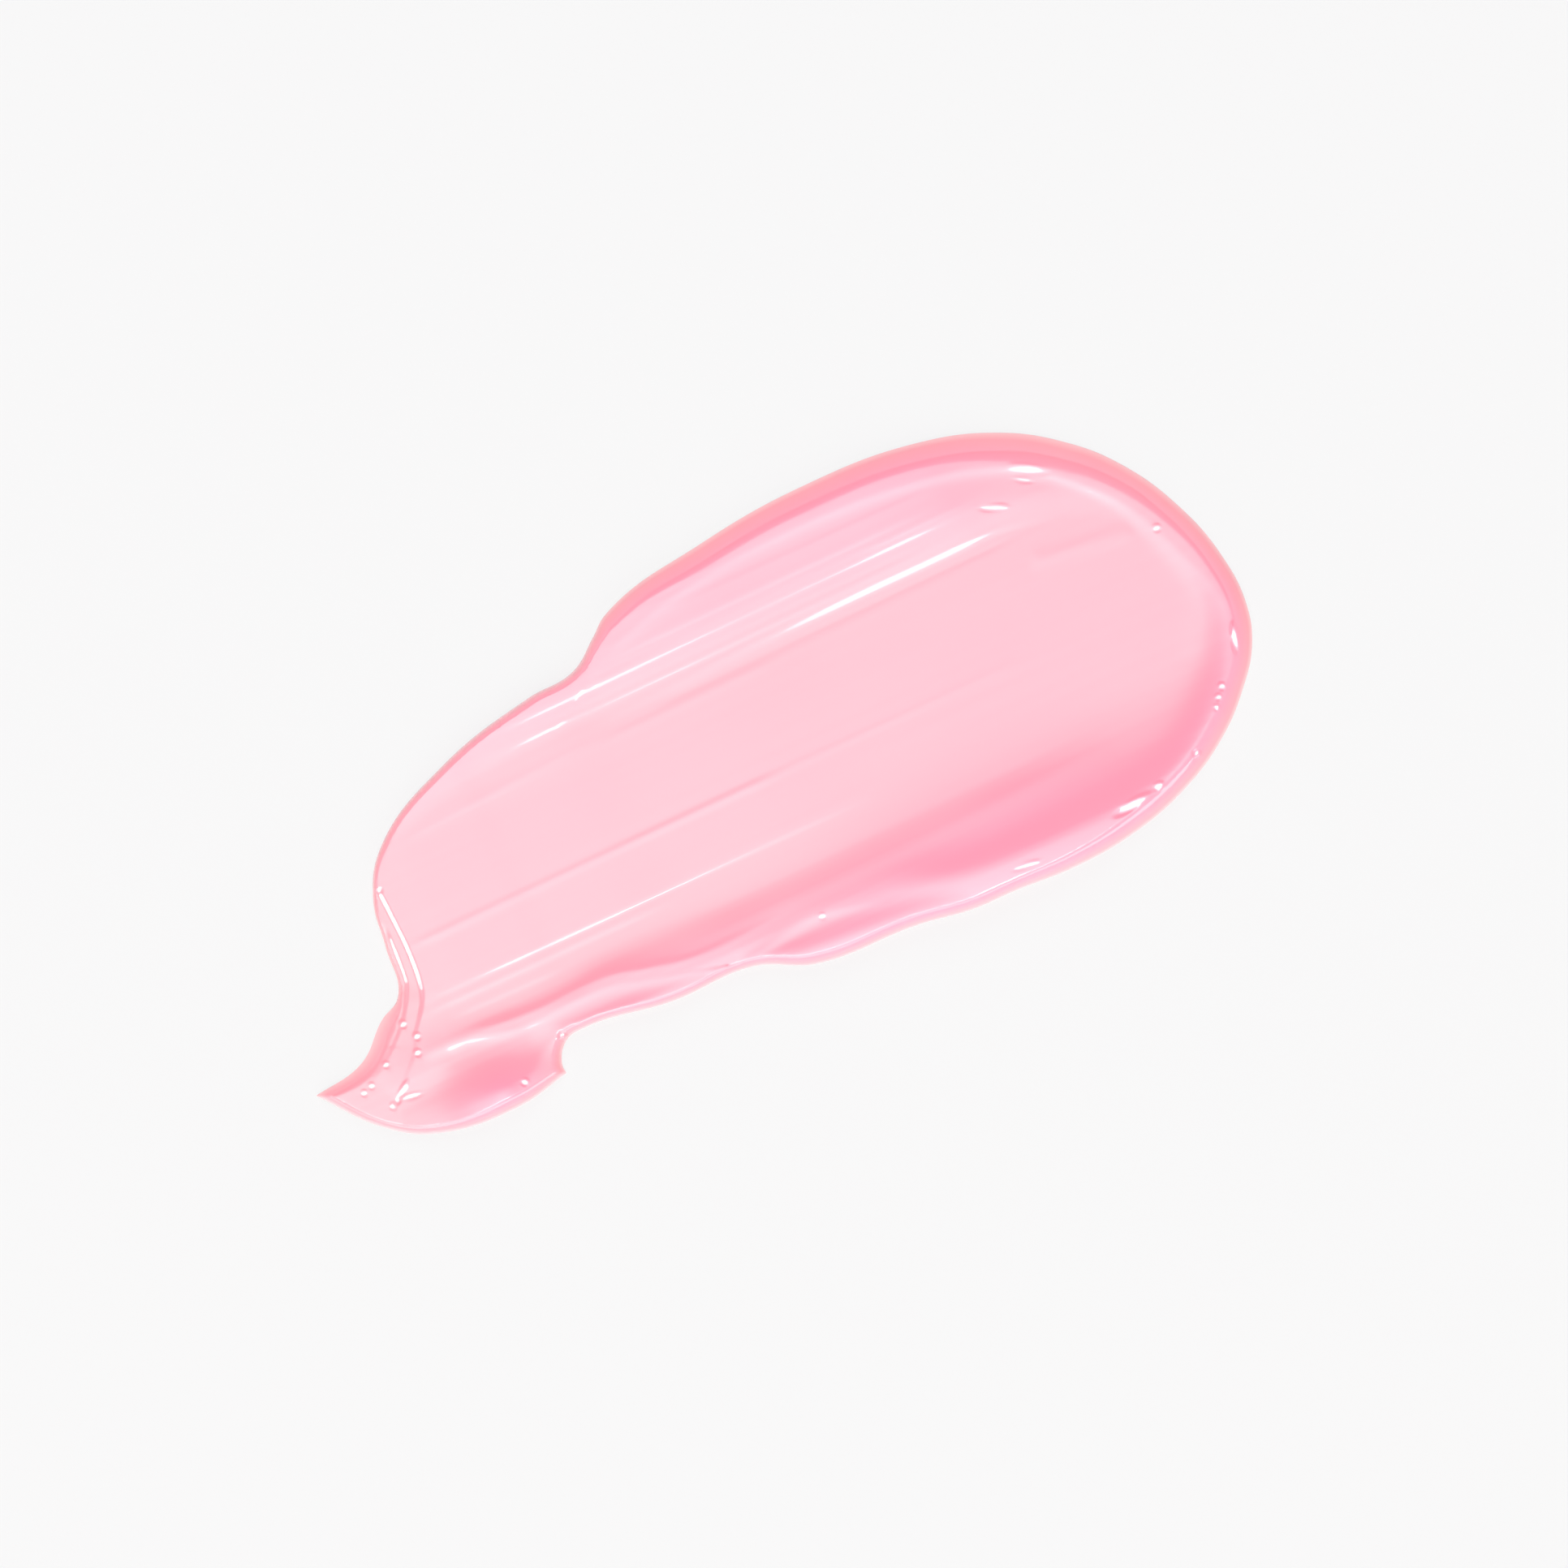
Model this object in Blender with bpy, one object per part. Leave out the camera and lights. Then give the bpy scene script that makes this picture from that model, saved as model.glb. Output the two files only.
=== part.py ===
"""A smear of lip gloss: one stroke of thick gloss, drawn out flat on a surface.

The stroke runs along X, from the tail at -X to the rounded head at +X, and Z is up. The smear is a
single mass with a flat underside. Its top is a height over the outline: a rounded edge, a drawn film
inside it, crests where the tool pushed the gloss up (the rim bead and its shoulder, the rolls along the
near side and the lobe of the tail), and drops where the tool's edge ran and where the tail end folds.
"""

import math

import bmesh
import bpy
import numpy as np
from mathutils import Vector, geometry

MM = 0.001

# Driving dimensions, in millimetres
FILM_AT_HEAD = 0.62
FILM_AT_TAIL = 0.42
NET_PITCH_ALONG = 0.70
NET_PITCH_ACROSS = 0.45
EDGE_PITCH = 0.55
LINE_PITCH = 0.60
ROOM = 0.28

# The outline, clockwise from the tip of the tail: (x, y, how far in the edge rises, whether it is a sharp point)
OUTLINE = [
    (-25.9, -5.8, 0.6, True),
    (-23.2, -5.3, 0.9, False),
    (-21.4, -3.8, 0.9, False),
    (-20.2, -3.1, 0.35, False),
    (-19.7, -0.6, 0.30, False),
    (-19.3, 1.7, 0.30, False),
    (-17.9, 3.9, 0.30, False),
    (-13.4, 6.3, 0.35, False),
    (-8.1, 7.55, 0.40, False),
    (-5.6, 7.8, 0.40, False),
    (-4.0, 8.9, 0.5, False),
    (-3.0, 9.65, 0.8, False),
    (2.7, 10.95, 1.2, False),
    (8.4, 11.4, 1.3, False),
    (14.5, 10.85, 1.3, False),
    (18.4, 9.6, 1.5, False),
    (21.1, 7.85, 1.5, False),
    (23.2, 5.65, 1.3, False),
    (24.9, 2.6, 1.1, False),
    (25.8, -0.5, 0.95, False),
    (25.9, -3.2, 0.8, False),
    (25.3, -5.15, 0.8, False),
    (23.9, -7.0, 0.6, False),
    (22.0, -8.7, 0.5, False),
    (19.25, -10.2, 0.5, False),
    (16.1, -11.1, 0.65, False),
    (13.0, -11.38, 0.7, False),
    (9.5, -11.2, 0.5, False),
    (7.4, -11.15, 0.45, False),
    (4.5, -10.7, 0.4, False),
    (-0.9, -10.3, 0.4, False),
    (-3.6, -9.15, 0.4, False),
    (-8.0, -9.0, 0.4, False),
    (-12.6, -8.35, 0.4, False),
    (-13.5, -8.5, 0.5, False),
    (-14.25, -9.5, 0.5, False),
    (-14.25, -10.0, 0.5, True),
    (-17.0, -10.5, 0.9, False),
    (-21.4, -9.95, 1.0, False),
    (-23.5, -8.65, 0.7, False),
]

# Each crest runs along points of (x, y, height above the film, width of its slope on the left of the way
# it runs), with the width of its other slope beside it.
RIM_CREST = [
    (-20.2, -6.2, 0.00, 0.4),
    (-16.9, -6.5, 0.05, 0.5),
    (-12.8, -6.95, 0.07, 0.7),
    (-10.2, -6.85, 0.08, 0.8),
    (-6.7, -7.8, 0.08, 1.1),
    (-4.0, -8.05, 0.08, 1.3),
    (-0.3, -7.75, 0.05, 1.2),
    (3.9, -8.75, 0.08, 1.3),
    (8.0, -9.8, 0.17, 1.2),
    (14.0, -10.0, 0.19, 1.2),
    (17.6, -9.75, 0.21, 1.2),
    (20.6, -8.75, 0.22, 1.2),
    (23.6, -6.1, 0.22, 1.2),
    (24.9, -2.8, 0.20, 1.0),
    (24.1, 0.6, 0.12, 0.8),
    (22.0, 4.6, 0.06, 0.5),
    (18.0, 8.0, 0.05, 0.4),
    (12.6, 9.35, 0.04, 0.35),
    (6.2, 9.65, 0.035, 0.35),
    (1.0, 9.2, 0.03, 0.35),
    (-3.2, 8.1, 0.02, 0.35),
    (-4.8, 7.2, 0.01, 0.35),
]
RIM_SHOULDER = [
    (-16.0, -7.2, 0.03, 1.4),
    (-8.0, -8.0, 0.08, 2.0),
    (-1.0, -8.5, 0.12, 2.5),
    (6.0, -9.4, 0.30, 3.3),
    (13.0, -9.8, 0.32, 3.4),
    (19.0, -9.0, 0.24, 2.6),
    (23.4, -6.3, 0.10, 1.6),
    (25.0, -3.0, 0.05, 1.6),
]
FAR_ROLL = [
    (-3.6, -8.95, 0.05, 0.5),
    (-1.2, -9.55, 0.11, 0.6),
    (1.7, -9.95, 0.12, 0.7),
    (4.7, -10.3, 0.08, 0.6),
    (7.4, -10.7, 0.02, 0.4),
]
NEAR_ROLL = [
    (-13.4, -8.0, 0.06, 0.4),
    (-10.4, -8.5, 0.08, 0.6),
    (-8.0, -8.6, 0.06, 0.5),
    (-6.0, -8.6, 0.02, 0.3),
]
TAIL_LOBE = [
    (-23.0, -8.2, 0.04, 0.6),
    (-20.2, -9.2, 0.14, 1.0),
    (-17.6, -9.50, 0.30, 1.3),
    (-16.0, -9.45, 0.30, 1.2),
    (-14.4, -8.8, 0.10, 0.6),
]
CRESTS = [
    (RIM_CREST, 3.0),
    (RIM_SHOULDER, 4.0),
    (FAR_ROLL, 1.6),
    (NEAR_ROLL, 1.4),
    (TAIL_LOBE, 2.0),
]

# Each drop runs along points of (x, y, how much higher the film stands on the left, width of the drop).
# The two lips at the tail end stand lower on the left, so their heights are below zero.
TOOL_STEP = [
    (-6.0, 4.7, 0.000, 0.5),
    (-0.7, 4.75, 0.020, 0.5),
    (4.0, 4.8, 0.046, 0.65),
    (8.0, 4.85, 0.062, 0.68),
    (14.0, 4.87, 0.060, 0.62),
    (16.5, 4.9, 0.025, 0.5),
    (19.5, 4.3, 0.000, 0.5),
]
UPPER_SLOPE = [
    (-17.5, 3.6, 0.00, 1.4),
    (-14.0, 4.6, 0.06, 1.5),
    (-8.0, 5.0, 0.10, 2.0),
    (0.0, 5.1, 0.09, 2.2),
    (8.0, 5.2, 0.07, 2.2),
    (14.0, 5.2, 0.07, 2.0),
    (19.5, 4.4, 0.02, 1.6),
    (22.5, 2.6, 0.00, 1.6),
]
LIP_OUTER = [
    (-23.70, -6.73, 0.000, 0.28),
    (-22.10, -5.89, -0.020, 0.28),
    (-20.55, -4.45, -0.040, 0.28),
    (-19.62, -3.03, -0.075, 0.30),
    (-19.41, -2.25, -0.078, 0.30),
    (-19.31, -0.70, -0.078, 0.30),
    (-19.20, 0.60, 0.000, 0.28),
]
LIP_INNER = [
    (-21.90, -7.40, 0.000, 0.30),
    (-20.46, -6.01, -0.020, 0.30),
    (-20.11, -5.27, -0.030, 0.30),
    (-19.15, -3.96, -0.060, 0.33),
    (-18.80, -2.90, -0.095, 0.36),
    (-18.65, -1.19, -0.095, 0.36),
    (-18.68, 0.60, -0.095, 0.36),
    (-18.80, 2.10, 0.000, 0.30),
]
DROPS = [TOOL_STEP, UPPER_SLOPE, LIP_OUTER, LIP_INNER]

GLOSS_COLOUR = (0.99, 0.50, 0.61, 1.0)


def clear_scene():
    for obj in list(bpy.data.objects):
        bpy.data.objects.remove(obj)


def new_collection(name):
    collection = bpy.data.collections.new(name)
    bpy.context.scene.collection.children.link(collection)
    return collection


def evenly_spaced(points, pitch):
    """The same line with points about one pitch apart, measured along it."""
    run = np.linalg.norm(np.diff(points, axis=0)[:, :2], axis=1)
    along = np.concatenate([[0.0], np.cumsum(run)])
    stops = np.linspace(0.0, along[-1], max(2, round(along[-1] / pitch)) + 1)
    return np.column_stack([np.interp(stops, along, column) for column in points.T])


def outline_curve(collection):
    """The outline as a closed flat curve, kept in the file as a guide."""
    data = bpy.data.curves.new("outline", "CURVE")
    data.dimensions = "2D"
    spline = data.splines.new("BEZIER")
    spline.use_cyclic_u = True
    spline.bezier_points.add(len(OUTLINE) - 1)
    for point, (x, y, _, sharp) in zip(spline.bezier_points, OUTLINE):
        point.co = Vector((x, y, 0.0)) * MM
        handle = "VECTOR" if sharp else "AUTO"
        point.handle_left_type = handle
        point.handle_right_type = handle
    guide = bpy.data.objects.new("outline", data)
    guide.hide_render = True
    guide.display_type = "WIRE"
    collection.objects.link(guide)
    bpy.context.view_layer.update()
    return guide


def outline_points(guide):
    """The outline as a loop of (x, y, edge width) in millimetres, with its sharp points kept."""
    knots = guide.data.splines[0].bezier_points
    steps = 24
    stretches = []
    for k, (knot, (_, _, width, sharp)) in enumerate(zip(knots, OUTLINE)):
        following = knots[(k + 1) % len(knots)]
        next_width = OUTLINE[(k + 1) % len(OUTLINE)][2]
        if sharp or not stretches:
            stretches.append([])
        curve = geometry.interpolate_bezier(
            knot.co, knot.handle_right, following.handle_left, following.co, steps
        )
        widths = np.linspace(width, next_width, steps)
        stretches[-1] += [(p.x / MM, p.y / MM, w) for p, w in zip(curve[:-1], widths)]
    loop = []
    for stretch, following in zip(stretches, [*stretches[1:], stretches[0]]):
        line = np.array([*stretch, following[0]])
        loop.append(evenly_spaced(line, EDGE_PITCH)[:-1])
    return np.vstack(loop)


def nearest_on_line(points, line):
    """For each point: how far the line is, which side it is on, and where along the line the foot lies."""
    starts, ends = line[:-1, :2], line[1:, :2]
    run = ends - starts
    to_point = points[:, None, :] - starts[None, :, :]
    share = np.clip((to_point * run).sum(2) / (run**2).sum(1), 0.0, 1.0)
    offset = to_point - share[:, :, None] * run
    distance = np.linalg.norm(offset, axis=2)
    best = distance.argmin(1)
    row = np.arange(len(points))
    side = run[best, 0] * offset[row, best, 1] - run[best, 1] * offset[row, best, 0]
    return distance[row, best], side, best + share[row, best]


def smooth_line(knots):
    """A smooth line through the knots, whose other columns are carried along with x and y."""
    knots = np.array(knots)
    before = np.vstack([2 * knots[0] - knots[1], knots[:-1]])
    after = np.vstack([knots[1:], 2 * knots[-1] - knots[-2]])
    slope = (after - before) / 2
    t = np.linspace(0.0, 1.0, 9)[:-1, None]
    pieces = [
        (2 * t**3 - 3 * t**2 + 1) * a + (t**3 - 2 * t**2 + t) * ma
        + (3 * t**2 - 2 * t**3) * b + (t**3 - t**2) * mb
        for a, b, ma, mb in zip(knots, knots[1:], slope, slope[1:])
    ]
    return evenly_spaced(np.vstack([*pieces, knots[-1:]]), LINE_PITCH)


def beside_line(points, knots):
    """For each point beside a smooth line: its distance, whether it lies on the left, and the line's own values."""
    line = smooth_line(knots)
    distance, side, foot = nearest_on_line(points, line)
    places = np.arange(len(line))
    return distance, side > 0, np.interp(foot, places, line[:, 2]), np.interp(foot, places, line[:, 3])


def crest_height(points, crest, right_width):
    """How much a crest adds at each point: a smooth ridge with its own slope on either side."""
    distance, on_left, height, left_width = beside_line(points, crest)
    width = np.where(on_left, left_width, right_width)
    return height * np.exp(-((distance / width) ** 2))


def drop_height(points, drop):
    """How much higher the film stands on the left of a drop, reached over the drop's width."""
    distance, on_left, height, width = beside_line(points, drop)
    share = np.clip(np.where(on_left, distance / width, 0.0), 0.0, 1.0)
    return height * share * share * (3.0 - 2.0 * share)


def from_edge(points, outline):
    """How far each point is from the outline, and how wide the rounded edge is there."""
    closed_outline = np.vstack([outline, outline[:1]])
    distance, _, foot = nearest_on_line(points, closed_outline)
    return distance, np.interp(foot, np.arange(len(closed_outline)), closed_outline[:, 2])


def smear_height(points, outline):
    """The gloss's height over each point, in millimetres."""
    distance, edge_width = from_edge(points, outline)
    share = np.clip(distance / edge_width, 0.0, 1.0)
    rounding = share * (2.0 - share)
    tail, head = outline[:, 0].min(), outline[:, 0].max()
    along = (points[:, 0] - tail) / (head - tail)
    height = FILM_AT_TAIL + (FILM_AT_HEAD - FILM_AT_TAIL) * along
    for crest, right_width in CRESTS:
        height = height + crest_height(points, crest, right_width)
    for drop in DROPS:
        height = height + drop_height(points, drop)
    return rounding * height


def inward_normals(outline):
    """Unit normals that point into the outline, which runs clockwise."""
    loop = outline[:, :2]
    tangent = np.roll(loop, -1, axis=0) - np.roll(loop, 1, axis=0)
    tangent /= np.linalg.norm(tangent, axis=1)[:, None]
    return np.column_stack([tangent[:, 1], -tangent[:, 0]])


def inside(points, outline):
    """Whether each point is inside the outline, by counting the crossings of a line to its right."""
    x, y = points[:, :1], points[:, 1:]
    ax, ay = outline[:, :2].T
    bx, by = np.roll(outline[:, :2], -1, axis=0).T
    spans = (ay > y) != (by > y)
    rise = np.where(by == ay, 1.0, by - ay)
    crossing = ax + (y - ay) / rise * (bx - ax)
    return ((spans & (x < crossing)).sum(1) % 2) == 1


def net_points(outline):
    """Points for the top: rows that follow the rounded edge, the crests and drops, and a net between them."""
    normals = inward_normals(outline)
    rows = []
    for share in (0.3, 0.65, 1.0):
        depth = share * outline[:, 2]
        row = outline[:, :2] + normals * depth[:, None]
        clear = from_edge(row, outline)[0] > 0.9 * depth
        rows.append(row[clear & inside(row, outline)])
    kept = np.vstack(rows)
    knots = [crest for crest, _ in CRESTS] + DROPS
    lines = np.vstack([smooth_line(line)[:, :2] for line in knots])
    low, high = outline[:, :2].min(0), outline[:, :2].max(0)
    columns = np.arange(low[0], high[0], NET_PITCH_ALONG)
    ranks = np.arange(low[1], high[1], NET_PITCH_ACROSS)
    net = np.array([(x + (k % 2) * NET_PITCH_ALONG / 2, y) for k, y in enumerate(ranks) for x in columns])
    for points in (lines, net):
        points = points[inside(points, outline)]
        distance, edge_width = from_edge(points, outline)
        points = points[distance > edge_width]
        for point in points:
            if np.linalg.norm(kept - point, axis=1).min() > ROOM:
                kept = np.vstack([kept, point])
    return kept


def gloss_material():
    material = bpy.data.materials.new("gloss")
    material.use_nodes = True
    shader = material.node_tree.nodes["Principled BSDF"]
    shader.inputs["Base Color"].default_value = GLOSS_COLOUR
    shader.inputs["Roughness"].default_value = 0.06
    shader.inputs["Metallic"].default_value = 0.0
    return material


def gloss_smear(collection, outline):
    """The smear: a net over the outline, raised to the gloss's height, on a flat underside."""
    points = np.vstack([outline[:, :2], net_points(outline)])
    count = len(outline)
    edges = [(k, (k + 1) % count) for k in range(count)]
    inside_only = 1
    net = geometry.delaunay_2d_cdt(
        [Vector(p) for p in points], edges, [list(range(count))], inside_only, 1e-6
    )
    flat, faces = np.array([tuple(p) for p in net[0]]), net[2]
    height = smear_height(flat, outline)
    mesh = bpy.data.meshes.new("gloss_smear")
    built = bmesh.new()
    corners = [built.verts.new(Vector((x, y, z)) * MM) for (x, y), z in zip(flat, height)]
    for face in faces:
        built.faces.new([corners[k] for k in face])
    rim = [edge for edge in built.edges if edge.is_boundary]
    bmesh.ops.contextual_create(built, geom=rim)
    bmesh.ops.recalc_face_normals(built, faces=built.faces)
    built.to_mesh(mesh)
    built.free()
    mesh.materials.append(gloss_material())
    mesh.shade_smooth()
    mesh.set_sharp_from_angle(angle=math.radians(50))
    smear = bpy.data.objects.new("gloss_smear", mesh)
    collection.objects.link(smear)
    return smear


def main():
    clear_scene()
    guide = outline_curve(new_collection("guides"))
    gloss_smear(new_collection("lip_gloss_smear"), outline_points(guide))


main()
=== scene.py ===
"""The looks of the lip gloss smear: a fine mesh of the smear, its gloss, and a plain pale studio."""

import math

import bmesh
import bpy
import numpy as np
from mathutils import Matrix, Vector, geometry


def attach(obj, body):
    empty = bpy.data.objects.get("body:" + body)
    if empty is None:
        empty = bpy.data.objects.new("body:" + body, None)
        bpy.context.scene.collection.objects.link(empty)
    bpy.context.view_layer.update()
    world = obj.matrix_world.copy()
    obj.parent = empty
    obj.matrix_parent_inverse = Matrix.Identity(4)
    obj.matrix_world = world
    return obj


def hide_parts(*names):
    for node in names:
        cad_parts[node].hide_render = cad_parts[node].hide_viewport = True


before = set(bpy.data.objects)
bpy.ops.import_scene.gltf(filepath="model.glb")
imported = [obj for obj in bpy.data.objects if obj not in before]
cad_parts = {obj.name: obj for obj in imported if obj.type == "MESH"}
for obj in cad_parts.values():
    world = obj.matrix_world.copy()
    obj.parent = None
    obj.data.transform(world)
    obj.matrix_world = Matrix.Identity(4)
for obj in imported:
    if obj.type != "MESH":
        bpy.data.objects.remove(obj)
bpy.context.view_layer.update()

MM = 0.001

# The photograph: its side in pixels, the size of a pixel, the stroke's slant and the picture's centre.
# Then the camera's lens and sensor. Lengths are in millimetres.
PHOTO_SIDE = 1932
PIXEL = 0.04
STROKE_SLANT = math.radians(25)
PICTURE_CENTRE = (1.49, -1.62)
LENS = 400.0
SENSOR = 36.0

# The film's depth at either end of the stroke, in millimetres
FILM_AT_HEAD = 0.62
FILM_AT_TAIL = 0.42

# How far apart points lie, in millimetres: in the net, on the outline, on the line of a crest or a
# step, along a lip and in a glint
NET_PITCH_ALONG = 0.17
NET_PITCH_ACROSS = 0.095
EDGE_PITCH = 0.17
LINE_PITCH = 0.20
LIP_PITCH = 0.10
GLINT_PITCH = 0.06

# Rows of points that follow a form: in from the outline, in edge pitches; to either side of the place
# where the edge has fully risen, in millimetres; and to the left of a lip, in millimetres
EDGE_ROWS = (0.3, 0.75, 1.5)
EDGE_TURN = 0.03
LIP_ROWS = (-0.10, -0.04, 0.0, 0.05, 0.10, 0.15, 0.20, 0.25, 0.30, 0.35, 0.40)

# How much of its own depth a row keeps clear of the outline, and how many of its pitches across the
# net keeps clear of the last row
ROW_CLEARANCE = 0.95
NET_CLEARANCE = 0.6

# How many points are measured at once, and the steps between two knots of the outline and of a line
POINTS_AT_ONCE = 4000
OUTLINE_STEPS = 40
LINE_STEPS = 24

# Points closer than this are one point, in millimetres, and a sharper turn than this stays an edge
SAME_POINT = 1e-6
SHARP_TURN = math.radians(60)

# The outline, clockwise from the tip of the tail:
# (x, y, how far in the edge rises, whether it is a sharp point)
OUTLINE = [
    (-25.9, -5.8, 0.4, True),
    (-23.2, -5.3, 0.9, False),
    (-21.4, -3.8, 0.9, False),
    (-20.2, -3.1, 0.18, False),
    (-19.7, -0.6, 0.16, False),
    (-19.3, 1.7, 0.18, False),
    (-17.9, 3.9, 0.30, False),
    (-13.4, 6.3, 0.36, False),
    (-8.1, 7.55, 0.38, False),
    (-5.6, 7.8, 0.38, False),
    (-4.0, 8.9, 0.5, False),
    (-3.0, 9.65, 0.8, False),
    (2.7, 10.84, 1.2, False),
    (8.4, 11.30, 1.3, False),
    (14.5, 10.85, 1.3, False),
    (18.4, 9.6, 1.5, False),
    (21.1, 7.85, 1.5, False),
    (23.2, 5.65, 1.3, False),
    (24.9, 2.6, 1.1, False),
    (25.8, -0.5, 0.95, False),
    (25.9, -3.2, 0.90, False),
    (25.3, -5.15, 0.95, False),
    (23.9, -7.0, 1.00, False),
    (22.0, -8.7, 1.05, False),
    (19.25, -10.2, 1.05, False),
    (16.1, -11.1, 0.95, False),
    (13.0, -11.38, 0.75, False),
    (9.5, -11.2, 0.55, False),
    (7.4, -11.15, 0.55, False),
    (4.5, -10.7, 0.55, False),
    (-0.9, -10.3, 0.55, False),
    (-3.6, -9.15, 0.42, False),
    (-8.0, -9.0, 0.38, False),
    (-12.6, -8.35, 0.34, False),
    (-13.5, -8.5, 0.5, False),
    (-14.25, -9.5, 0.5, False),
    (-14.25, -10.0, 0.5, True),
    (-17.0, -10.5, 0.65, False),
    (-21.4, -9.95, 0.45, False),
    (-23.5, -8.65, 0.35, False),
]

# Each crest runs along points of (x, y, height, width of its slope on the left of the way it runs).
# The near side is the picture's lower side.
# The rim bead, from the tail along the near side, round the head and back along the far side
RIM_CREST = [
    (-20.2, -6.2, 0.00, 0.4),
    (-16.9, -6.5, 0.05, 0.5),
    (-12.8, -6.95, 0.07, 0.7),
    (-10.2, -6.85, 0.08, 0.8),
    (-6.7, -7.8, 0.08, 1.1),
    (-4.0, -8.05, 0.08, 1.3),
    (-0.3, -7.75, 0.05, 1.2),
    (3.9, -8.75, 0.08, 1.3),
    (8.0, -9.8, 0.17, 1.2),
    (14.0, -10.0, 0.19, 1.2),
    (17.6, -9.75, 0.21, 1.2),
    (20.6, -8.75, 0.22, 1.2),
    (23.6, -6.1, 0.20, 1.2),
    (24.95, -2.8, 0.12, 0.9),
    (24.05, 0.6, 0.06, 0.6),
    (22.0, 4.6, 0.045, 0.36),
    (18.0, 8.0, 0.048, 0.36),
    (12.6, 9.35, 0.048, 0.36),
    (6.2, 9.65, 0.046, 0.35),
    (1.0, 9.2, 0.044, 0.34),
    (-3.2, 8.1, 0.030, 0.34),
    (-4.8, 7.2, 0.01, 0.35),
]
# The broad shoulder under the bead on the near side
RIM_SHOULDER = [
    (-18.0, -7.0, 0.00, 1.2),
    (-16.0, -7.2, 0.02, 1.4),
    (-8.0, -8.0, 0.09, 2.0),
    (-1.0, -8.5, 0.105, 2.4),
    (6.0, -9.4, 0.325, 3.3),
    (13.0, -9.8, 0.38, 3.4),
    (19.0, -9.0, 0.24, 2.6),
    (23.4, -6.3, 0.10, 1.6),
    (25.0, -3.0, 0.05, 1.6),
]
# The roll outside the bead on the near side, far from the tail, and the fine seam beside it
FAR_ROLL = [
    (-3.6, -8.95, 0.04, 0.5),
    (-1.2, -9.65, 0.14, 0.8),
    (1.7, -10.0, 0.15, 0.9),
    (4.7, -10.3, 0.09, 0.7),
    (7.4, -10.7, 0.00, 0.4),
]
FAR_SEAM = [
    (-4.2, -8.75, 0.000, 0.6),
    (-2.8, -8.50, 0.026, 0.6),
    (-1.2, -8.22, 0.032, 0.6),
    (0.6, -8.18, 0.030, 0.6),
    (3.8, -8.85, 0.000, 0.6),
]
# The smaller roll near the tail
NEAR_ROLL = [
    (-14.2, -7.85, 0.00, 0.4),
    (-13.2, -8.05, 0.05, 0.4),
    (-10.4, -8.5, 0.11, 0.6),
    (-8.0, -8.6, 0.050, 0.5),
    (-6.0, -8.6, 0.00, 0.3),
]
# The thick lobe in the tail, and the fine arc from it to the smaller roll
TAIL_LOBE = [
    (-22.6, -8.7, 0.00, 1.0),
    (-20.6, -9.35, 0.15, 1.5),
    (-18.9, -9.65, 0.36, 1.65),
    (-17.3, -9.75, 0.45, 1.55),
    (-15.8, -9.8, 0.22, 1.7),
    (-14.5, -9.8, 0.00, 1.2),
]
TAIL_ARC = [
    (-16.6, -9.75, 0.000, 0.5),
    (-16.0, -9.45, 0.035, 0.5),
    (-15.3, -9.10, 0.045, 0.5),
    (-14.5, -8.55, 0.040, 0.45),
    (-13.8, -8.20, 0.000, 0.4),
]
# The fold that runs from the lip along the near side
LIP_FOLD = [
    (-20.65, -6.22, 0.000, 0.5),
    (-19.10, -6.26, 0.043, 0.9),
    (-17.90, -6.34, 0.043, 0.9),
    (-16.70, -6.66, 0.043, 0.9),
    (-15.40, -6.92, 0.038, 0.9),
    (-14.00, -6.95, 0.028, 0.9),
    (-12.40, -6.87, 0.024, 0.9),
    (-10.40, -7.00, 0.022, 0.9),
    (-8.40, -7.55, 0.022, 0.9),
    (-6.20, -7.98, 0.024, 0.9),
    (-4.00, -8.02, 0.022, 0.9),
    (-1.80, -7.80, 0.000, 0.9),
]
# The fine line that doubles the fold
FOLD_LINE = [
    (-18.0, -6.00, 0.000, 0.2),
    (-16.0, -6.38, 0.012, 0.2),
    (-14.0, -6.52, 0.014, 0.2),
    (-12.0, -6.45, 0.014, 0.2),
    (-10.2, -6.52, 0.013, 0.2),
    (-8.4, -7.00, 0.013, 0.2),
    (-6.2, -7.48, 0.012, 0.2),
    (-4.0, -7.55, 0.010, 0.2),
    (-1.5, -7.40, 0.000, 0.2),
]
# The low fan in the tail
TAIL_FAN = [
    (-22.6, -7.3, 0.00, 1.2),
    (-21.4, -6.95, 0.05, 1.2),
    (-20.2, -6.80, 0.05, 1.2),
    (-19.0, -6.75, 0.00, 1.2),
]
# Every crest, with the width of its slope on the right
CRESTS = [
    (RIM_CREST, 3.0),
    (RIM_SHOULDER, 4.0),
    (FAR_ROLL, 2.4),
    (FAR_SEAM, 0.28),
    (NEAR_ROLL, 1.4),
    (TAIL_LOBE, 4.0),
    (TAIL_ARC, 0.5),
    (LIP_FOLD, 0.32),
    (FOLD_LINE, 0.18),
    (TAIL_FAN, 0.75),
]

# Where the film drops to the right of the way a line runs: (x, y, drop, width of the drop)
# The step that the tool's edge left
TOOL_STEP = [
    (-6.0, 4.7, 0.000, 0.5),
    (-0.7, 4.75, 0.026, 0.5),
    (4.0, 4.8, 0.049, 0.66),
    (8.0, 4.85, 0.064, 0.74),
    (14.0, 4.85, 0.063, 0.72),
    (16.5, 4.9, 0.025, 0.5),
    (19.5, 4.3, 0.000, 0.5),
]
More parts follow.
